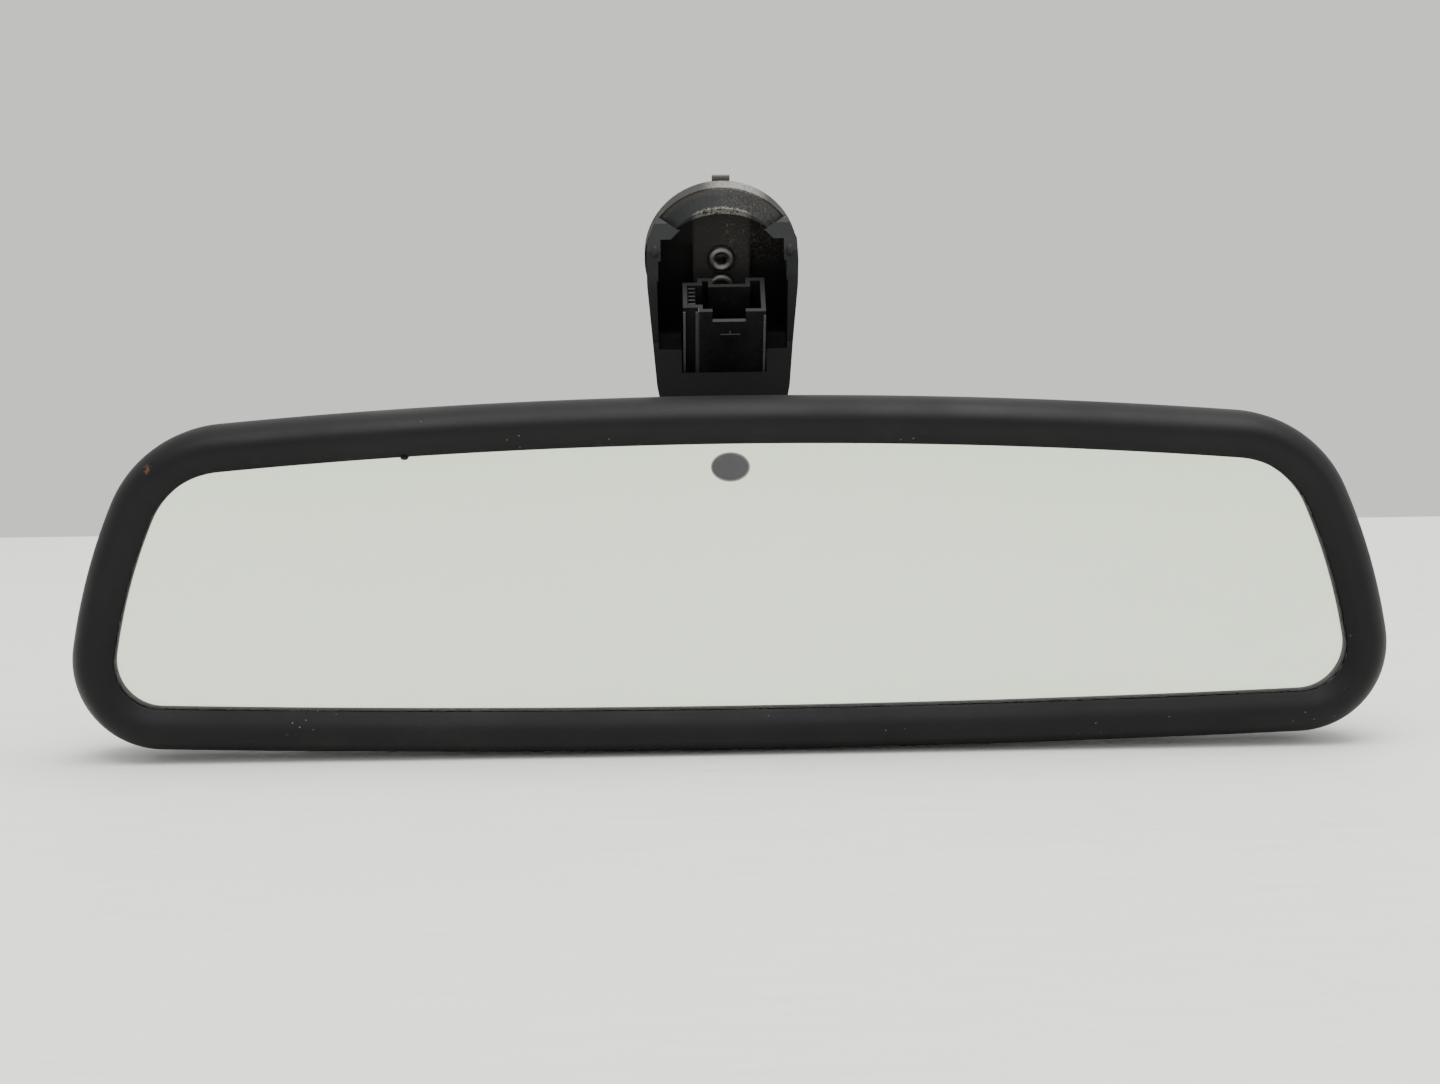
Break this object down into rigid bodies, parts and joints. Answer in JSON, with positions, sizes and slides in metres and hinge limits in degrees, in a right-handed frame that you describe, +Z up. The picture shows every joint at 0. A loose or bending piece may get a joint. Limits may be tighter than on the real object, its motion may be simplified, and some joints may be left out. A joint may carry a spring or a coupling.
{
  "type": "interior rearview mirror",
  "caption": "Auto-dimming interior rearview mirror: wide framed head on a ball joint, cast foot with a cable socket and a spring clip for a windscreen button.",
  "frame": {"origin": "middle of the foot's seat, on the spring plate's flat back between its two rivets", "axes": "+X along the mirror's width, -Y towards the driver, +Z up"},
  "size_m": [0.2472, 0.067, 0.1077],
  "materials": {
    "cast_zinc": "worn black paint over bare zinc",
    "spring_steel": "satin",
    "rivet_steel": "satin",
    "black_nylon": "semi-gloss",
    "pin_brass": "bright",
    "ball_steel": "polished",
    "wire_sleeve": "matte",
    "acetal": "smooth",
    "frame_plastic": "soft grain",
    "housing_plastic": "soft grain",
    "front_glass": "clear, faint green",
    "mirror_glass": "silvered",
    "seal_resin": "cured resin",
    "window_tint": "dark tinted lens",
    "clip_copper": "bright",
    "foam": "foam",
    "carrier_plastic": "moulded",
    "board_green": "solder mask",
    "sensor_black": "epoxy",
    "capacitor_can": "can",
    "connector_white": "moulded",
    "screw_zinc": "zinc plated"
  },
  "bodies": {
    "foot": {"ball_stud": "ball_steel", "connector_housing": "black_nylon", "contact_pin_1": "pin_brass", "contact_pin_2": "pin_brass", "contact_pin_3": "pin_brass", "contact_pin_4": "pin_brass", "foot_casting": "cast_zinc", "lower_rivet": "rivet_steel", "spring_plate": "spring_steel", "upper_rivet": "rivet_steel", "wire_loom": "wire_sleeve"},
    "liner": {"ball_liner": "acetal"},
    "ring": {"tilt_ring": "acetal"},
    "head": {"ambient_sensor": "sensor_black", "board_connector": "connector_white", "capacitor": "capacitor_can", "carrier_plate": "carrier_plastic", "carrier_screw_1": "screw_zinc", "carrier_screw_2": "screw_zinc", "carrier_screw_3": "screw_zinc", "carrier_screw_4": "screw_zinc", "cell_seal": "seal_resin", "circuit_board": "board_green", "control_chip": "sensor_black", "foam_pad": "foam", "front_frame": "frame_plastic", "front_glass": "front_glass", "glare_sensor": "sensor_black", "head_lead": "wire_sleeve", "lower_bus_clip": "clip_copper", "rear_glass": "mirror_glass", "rear_housing": "housing_plastic", "rear_light_pipe": "window_tint", "sensor_window": "window_tint", "socket_housing": "carrier_plastic", "socket_ring_nut": "housing_plastic", "socket_screw_1": "screw_zinc", "socket_screw_2": "screw_zinc", "socket_screw_3": "screw_zinc", "upper_bus_clip": "clip_copper"}
  },
  "joints": [
    {"name": "head_yaw", "type": "hinge", "parent": "foot", "child": "liner", "pos_m": [0, -0.035, -0.053], "axis": [0, 0, 1], "range_deg": [-15, 15]},
    {"name": "head_pitch", "type": "hinge", "parent": "liner", "child": "ring", "pos_m": [0, -0.035, -0.053], "axis": [1, 0, 0], "range_deg": [-12, 12]},
    {"name": "head_roll", "type": "hinge", "parent": "ring", "child": "head", "pos_m": [0, -0.035, -0.053], "axis": [0, 1, 0], "range_deg": [-6, 6]}
  ]
}
